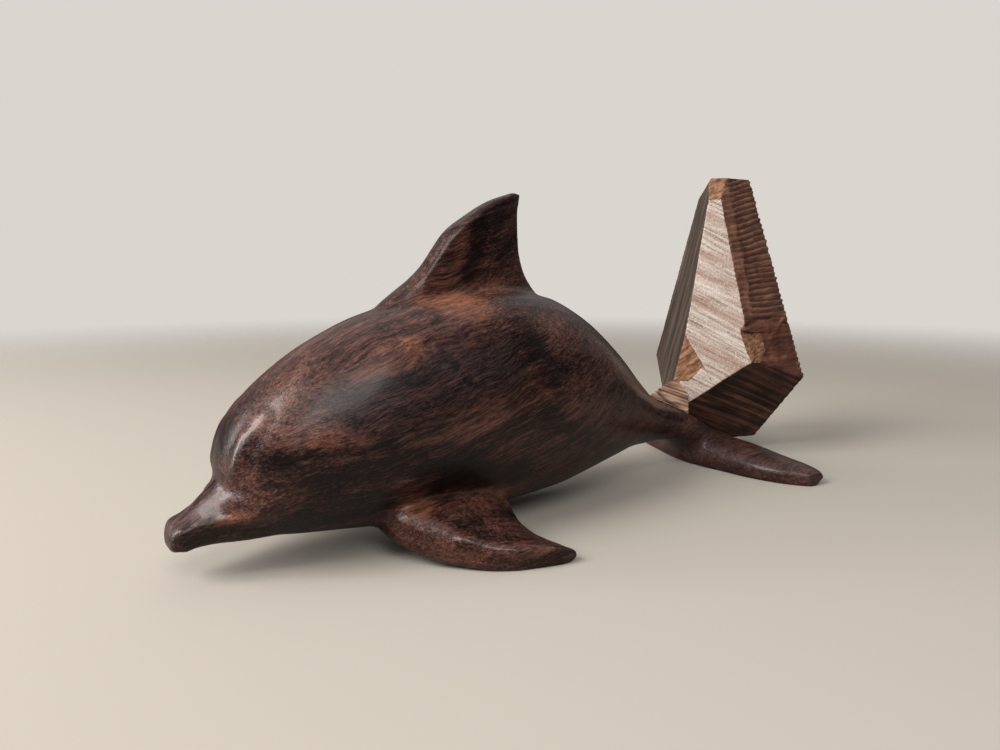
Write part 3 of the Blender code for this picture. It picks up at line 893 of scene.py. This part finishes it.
# %% Mark where this carving is dark, warm or orange, and where shade, highlight and sheen are painted
# The last column paints a greyish sheen into the colour and also dulls the oil there.
MARKS = [  # a line in mm, how far it reaches, and how much warmth, orange and grey it gives
    # Forehead
    ([(-82, -12, 41), (-77, -12, 44)], 6, 1.0, 0.5, 0),
    ([(-88, -3, 42), (-75, -2, 51), (-68, -4, 54)], 10, 0.7, 0.1, 0.2),
    ([(-96, -2, 31), (-93, 0, 36), (-90, 2, 40)], 5, -1.0, 0, 0),
    # Beak
    ([(-98, -7, 15.3), (-92, -11.5, 17)], 2.2, 1.6, 0.5, 0),
    # Painted greyish sheen on the top of the beak.
    ([(-106, -2, 14.5), (-102, -3, 16.5), (-98, -4, 19)], 3.5, 0.5, 0, 0.9),
    # Painted shade in the crease round the beak's root.
    (CARVED_LINES["crease"][0], 0.7, -1.0, 0, 0),
    # Cheek and jaw
    ([(-90, -10, 35), (-85, -15, 33), (-80, -18, 33), (-74, -19, 32), (-70, -21, 31)], 4, 1.0, 0, 0),
    ([(-80, -18, 32.5), (-77, -19, 33)], 3, 0.9, 0.5, 0),
    ([(-84, -17, 28), (-78, -19, 28), (-70, -21, 28), (-62, -22, 29), (-52, -23, 30)], 1.0, 1.2, 0, 0),
    ([(-88, -15, 26), (-76, -20, 25.5), (-62, -22, 27), (-49, -22, 24), (-39, -21, 20)], 5.5, -1.6, 0, 0),
    ([(-93, -11, 25), (-86, -16, 25)], 5, 0.5, 0, 0),
    ([(-93, -10, 16), (-86, -16, 20)], 3.5, 0.8, 0.1, 0),
    ([(-104, -5, 10.5), (-91, -12, 12), (-76, -17, 14), (-64, -18, 17)], 5.5, -1.3, 0, 0),
    # Back
    ([(-55, -15, 53), (-54, -17, 50)], 3, 1.6, 0.8, 0),
    ([(-69, -16, 46), (-63, -17, 47), (-57, -18, 48)], 2.4, 1.4, 0.5, 0),
    ([(-62, -19, 44), (-54, -20, 45)], 2.4, -1.3, 0, 0),
    ([(-39, -8, 61), (-35, -9, 61), (-33, -11, 60)], 6, 1.5, 1.0, 0),
    ([(-45, -5, 61), (-36, -6, 62), (-21, -5, 64)], 4, 1.0, 0.7, 0),
    ([(-42, -12, 58), (-30, -13, 57)], 3, 0.6, 0.2, 0),
    ([(-14, -16, 55), (3, -16, 48)], 7, 0.6, 0, 0),
    # Flank and belly
    # Painted greyish sheen across the flank.
    ([(-74, -17, 41), (-61, -21, 40), (-47, -21, 44), (-33, -21, 45)], 9, -0.4, 0, 0.9),
    ([(-54, -23, 30), (-46, -22, 25)], 4, -0.2, 0, 0.6),
    ([(-20, -20, 49), (-15, -21, 42)], 6, -1.4, 0, 0.2),
    ([(-19, -23, 31), (5, -18, 21)], 4, -0.8, 0, 0),
    ([(-19, -22, 40), (-8, -22, 36), (4, -20, 27)], 7, 0.6, 0, 0),
    ([(-60, -22, 31), (-34, -23, 37)], 3.5, 0.9, 0, 0),
    ([(-53, -23, 28), (-34, -23, 34)], 3, 0.8, 0, 0),
    ([(-50, -20, 17), (-39, -20, 18), (-26, -20, 17)], 5, -1.5, 0, 0),
    ([(-58, -18, 14), (-51, -21, 13), (-38, -20, 12), (-24, -15, 10)], 5, 1.5, 0.5, 0),
    # Flippers
    ([(-62, -19, 16), (-55, -20, 13)], 4, 0.8, 0.4, 0),
    # Painted highlight: lighter and warmer along the flipper's lit ridge.
    ([(-57, -24, 11), (-51, -32, 7), (-45, -37, 5), (-33, -41, 4)], 3, 0.6, 0.1, 0),
    ([(-60, -22, 7), (-49, -35, 3)], 4, 0.7, 0.3, 0),
    # Painted shade where the flipper's tip meets the floor.
    ([(-31, -43, 1), (-22, -45, 1)], 5, -0.5, 0, 0),
    # Dorsal fin
    ([(-25, -2, 82), (-27, -2, 75), (-30, -3, 68)], 3.2, -1.5, 0, 0),
    ([(-18, -1, 86), (-22, -2, 79)], 5, -0.6, 0, 0),
    ([(-31, -2, 79), (-32, -3, 72)], 2.6, 0.9, 0.4, 0),
    ([(-43, -3, 65), (-19, -2, 65)], 3.5, 0.7, 0.2, 0),
    # Tail
    ([(28, -13, 25), (37, -9, 17)], 5, 0.6, 0.9, 0),
    # Painted greyish sheen on the top of the flukes, which is duller too.
    ([(60, -4, 10), (72, -20, 6), (80, -38, 3)], 12, 0.6, 0, 1.0),
]
MARK_FADES = (1.25, 0.3)  # the shares of its reach between which a mark fades in

left_points = on_the_left(surface.points)
ragged = 1 + 0.45 * surface.noise(160, 9, 3)
warmth, orange, grey = np.zeros((3, len(surface.points)))
for line, reach, warm_and_shading, gold, sheen_and_dullness in MARKS:
    near = slope(from_line(left_points, line) / (reach * MM * ragged), *MARK_FADES)
    warmth += warm_and_shading * near
    orange += gold * near
    grey += sheen_and_dullness * near
figure_marks = {"warmth": warmth, "orange": np.clip(orange, 0, 1), "grey": np.clip(grey, 0, 1)}
print(len(MARKS), "marks; warmth from", round(float(warmth.min()), 1), "to", round(float(warmth.max()), 1))

# %% Write the marks on the pieces
skin_tree = KDTree(len(surface.points))
for index, point in enumerate(surface.points.tolist()):
    skin_tree.insert(point, index)
skin_tree.balance()
for name in DOLPHIN:
    mesh = pieces[name].data
    same = [skin_tree.find(vert.co)[1] for vert in mesh.vertices]
    for mark, values in figure_marks.items():
        write_mark(mesh, mark, values[same])
print("marks written:", ", ".join(figure_marks))

# %% [markdown]
# The colour is one ramp from near-black to light brown, read off a tone. Broad figure, narrow veins and
# hair-fine fibres add up to that tone, each a noise with so many lumps in a metre along the grain, across it
# and through the layers. Oil leaves a soft gloss with a thin coat on top. Where a greyish sheen is painted
# into the colour, the gloss is also duller.

# %% Mix the oiled wood
GRAIN = np.array([0.955, 0.0, 0.296])
LAYERS = np.array([-0.26, -0.45, 0.84])
LAYERS = LAYERS - GRAIN * (LAYERS @ GRAIN)
LAYERS = LAYERS / np.linalg.norm(LAYERS)
GRAIN_WAYS = (GRAIN, np.cross(GRAIN, LAYERS), LAYERS)
DRIFT_LUMPS, DRIFT_REACH = 38, 0.007
CURL_LUMPS, CURL_REACH = 150, 0.0011
GOLDEN_TINT = (1.15, 0.98, 0.66)
PAINTED_SHEEN_GREY = (0.050, 0.036, 0.042)


def oiled_wood():
    wood = Finish("oiled_wood")
    place = wood.place()
    drift = wood.push(place, DRIFT_LUMPS, DRIFT_REACH)
    curl = wood.push(place, CURL_LUMPS, CURL_REACH)
    wandering = wood.vector("ADD", wood.vector("ADD", place, drift), curl)
    figure = wood.noise(wood.laid(wandering, GRAIN_WAYS, (16, 120, 230)), 1.0, 3, 0.6)
    veins = wood.noise(wood.laid(wandering, GRAIN_WAYS, (55, 800, 1250)), 1.0, 3, 0.65)
    hair = wood.noise(wood.laid(wandering, GRAIN_WAYS, (300, 2300, 3600)), 1.0, 2, 0.6)
    speck = wood.noise(place, 1300, 2, 0.6)
    warm_and_shading, gold, sheen_and_dullness = (wood.attribute(mark) for mark in figure_marks)
    # The warm marks lighten or darken the tone; a few of them are painted shade or painted highlight.
    tone = 0.25 * figure + 0.31 * veins + 0.34 * hair + 0.10 * speck + 0.052 * warm_and_shading
    colour = wood.ramp(
        tone,
        (0.41, (0.006, 0.0028, 0.0023)), (0.47, (0.021, 0.0090, 0.0072)),
        (0.52, (0.052, 0.0215, 0.0170)), (0.57, (0.100, 0.042, 0.033)),
        (0.635, (0.165, 0.072, 0.055)), (0.74, (0.30, 0.145, 0.105)),
    )
    colour = wood.tint(colour, GOLDEN_TINT, 0.8 * gold)
    # Painted sheen: a greyish colour mixed in where the sheen marks lie.
    colour = wood.mix(colour, PAINTED_SHEEN_GREY, 0.40 * sheen_and_dullness * wood.step(hair + 0.4 * speck, 0.55, 0.85))
    return wood.done(
        Base_Color=colour, Roughness=0.22 + 0.18 * veins + 0.16 * sheen_and_dullness,
        Normal=wood.bump(hair + 0.5 * speck, 0.10 * MM, 0.7), Specular_IOR_Level=0.32,
        Coat_Weight=0.18, Coat_Roughness=0.13,
    )


oiled = oiled_wood()
for name in DOLPHIN:
    pieces[name].data.materials.append(oiled)
print(oiled.name, "has", len(oiled.node_tree.nodes), "nodes")

# %% [markdown]
# ## The sawn wood
# Each saw cut shows the same wood in another way: dried pale and furrowed by the saw in front, satin brown
# with a painted greyish sheen on the left, red-brown on the right with painted shade in its troughs, dark
# with long grain lines below, and bright orange where the fibres tore. Each look has its own short function:
# a noise drawn out along lines on a saw cut, and a ramp of colours that it picks from.

# %% Draw lines on a saw cut
def ways_on(cut, fall):
    """Three ways on a saw cut: along lines that fall to the right by so many degrees, across them
    and out of the cut."""
    heading, tilt = SAW_CUTS[cut]
    out = outward(heading, tilt)
    right = outward(heading + 90, 0)
    up = np.cross(out, right)
    turn = math.radians(fall)
    return right * math.cos(turn) - up * math.sin(turn), right * math.sin(turn) + up * math.cos(turn), out


def fibres(wood, where, cut, fall, counts, detail=3, rough=0.65):
    return wood.noise(wood.laid(where, ways_on(cut, fall), counts), 1.0, detail, rough)


# %% The looks of the walls
PALE_STAIN, PALE_DUST = (0.30, 0.155, 0.105), (0.78, 0.74, 0.70)
# The trough colour is painted shade for the troughs of the ribs.
PAINTED_TROUGH_SHADE, LIP_BRIGHT = (0.012, 0.006, 0.005), (0.27, 0.125, 0.072)
# The broken tint darkens broken wood and also paints the shadow under the overhang and the shade in the band.
BROKEN_AND_SHADOW_TINT = (0.62, 0.48, 0.46)


def pale_front(wood, wandering, furrows, speck):
    bands = fibres(wood, wandering, "pale front", 27, (14, 170, 40), 2, 0.5)
    pale = wood.ramp(
        0.7 * furrows + 0.3 * speck,
        (0.36, (0.21, 0.14, 0.108)), (0.48, (0.455, 0.370, 0.315)), (0.62, (0.68, 0.605, 0.55)),
    )
    pale = wood.mix(pale, PALE_STAIN, 0.5 * wood.step(bands + 0.45 * (furrows - 0.5), 0.52, 0.62))
    return wood.mix(pale, PALE_DUST, 0.5 * wood.step(speck, 0.58, 0.72))


# The left wall's greyish colours are partly the wood's own and partly a painted sheen.
def satin_left_and_sheen(wood, place):
    strokes = fibres(wood, place, "left wall", 97, (30, 500, 300), 3, 0.6)
    return wood.ramp(
        strokes, (0.32, (0.036, 0.024, 0.019)), (0.5, (0.066, 0.048, 0.038)), (0.7, (0.125, 0.095, 0.078)),
    )


def ribbed_right(wood, wandering, blotch, ragged, marks):
    grain = fibres(wood, wandering, "right wall", -6, (70, 1100, 300))
    brown = wood.ramp(
        0.5 * grain + 0.5 * blotch,
        (0.36, (0.062, 0.026, 0.017)), (0.48, (0.150, 0.066, 0.043)), (0.58, (0.25, 0.120, 0.076)),
        (0.72, (0.40, 0.22, 0.14)),
    )
    # Painted shade in the troughs of the ribs.
    painted_trough_shade = wood.step(marks["trough"] + 0.8 * (blotch - 0.5), 0.4, 1.0)
    brown = wood.mix(brown, PAINTED_TROUGH_SHADE, 0.65 * painted_trough_shade)
    # Broken wood, with painted shadow under the overhang and painted shade in the band.
    brown = wood.tint(brown, BROKEN_AND_SHADOW_TINT, wood.step(marks["broken"], 0.2, 0.8))
    on_lip = wood.step(marks["lip"] + 1.8 * (blotch - 0.5) + ragged, 0.3, 1.0)
    return wood.mix(brown, LIP_BRIGHT, 0.40 * on_lip)


# %% The looks of the foot, the root and the torn places
# Painted shade for the groove along the root.
PAINTED_GROOVE_SHADE = (0.045, 0.022, 0.015)


def dark_foot(wood, place, blotch):
    grain = fibres(wood, place, "front undercut", 24, (14, 620, 300), 4)
    return wood.ramp(
        0.75 * grain + 0.25 * blotch,
        (0.38, (0.015, 0.007, 0.005)), (0.47, (0.052, 0.022, 0.014)), (0.55, (0.125, 0.054, 0.033)),
        (0.66, (0.22, 0.105, 0.062)),
    )


def torn_orange(wood, place):
    splinters = fibres(wood, place, "pale front", -35, (60, 900, 900), 3, 0.7)
    return wood.ramp(
        splinters, (0.34, (0.075, 0.030, 0.016)), (0.48, (0.195, 0.088, 0.045)), (0.62, (0.37, 0.195, 0.112)),
    )


def striped_root(wood, place):
    stripes = fibres(wood, place, "root near side", 25, (60, 900, 300), 3, 0.6)
    return wood.ramp(
        stripes, (0.38, (0.11, 0.050, 0.028)), (0.5, (0.30, 0.175, 0.115)), (0.62, (0.55, 0.38, 0.28)),
    )


# %% Mix the sawn wood
WANDER_LUMPS, WANDER_REACH = 90, 0.005


def sawn_wood():
    wood = Finish("sawn_wood")
    place = wood.place()
    marks = {mark: wood.attribute(mark) for mark in block_marks}
    wandering = wood.vector("ADD", place, wood.push(place, WANDER_LUMPS, WANDER_REACH))
    ragged = 0.6 * (wood.noise(place, 700, 3) - 0.5)
    blotch = wood.noise(place, 130, 3, 0.6)
    speck = wood.noise(place, 1700, 2, 0.7)
    furrows = fibres(wood, place, "pale front", 27, (45, 950, 300))
    colour = ribbed_right(wood, wandering, blotch, ragged, marks)
    looks = {
        "lower": dark_foot(wood, place, blotch),
        "satin": satin_left_and_sheen(wood, place),
        "pale": pale_front(wood, wandering, furrows, speck),
        "torn": torn_orange(wood, place),
        "root": striped_root(wood, place),
    }
    for mark, look in looks.items():
        colour = wood.mix(colour, look, wood.step(marks[mark] + ragged, 0.4, 0.6))
    # Painted shade in the groove.
    colour = wood.mix(colour, PAINTED_GROOVE_SHADE, 0.8 * wood.step(marks["groove"], 0.3, 1.0))
    return wood.done(
        Base_Color=colour, Roughness=0.80 - 0.34 * marks["satin"] - 0.16 * marks["lower"],
        Normal=wood.bump(speck + furrows, 0.12 * MM, 0.7), Specular_IOR_Level=0.4,
    )


sawn = sawn_wood()
pieces["tail_block"].data.materials.append(sawn)
print(sawn.name, "has", len(sawn.node_tree.nodes), "nodes")

# %% [markdown]
# ## Handing over
# The carving is one rigid thing that nothing moves, so all six dressed pieces ride on the root body.
# Each takes the place of its own solid, which is hidden.

# %% Hand the pieces over
for name, piece in pieces.items():
    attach(piece, "root")
    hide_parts(name)
    name + "_wood"
    print(name, "is replaced by", piece.name)
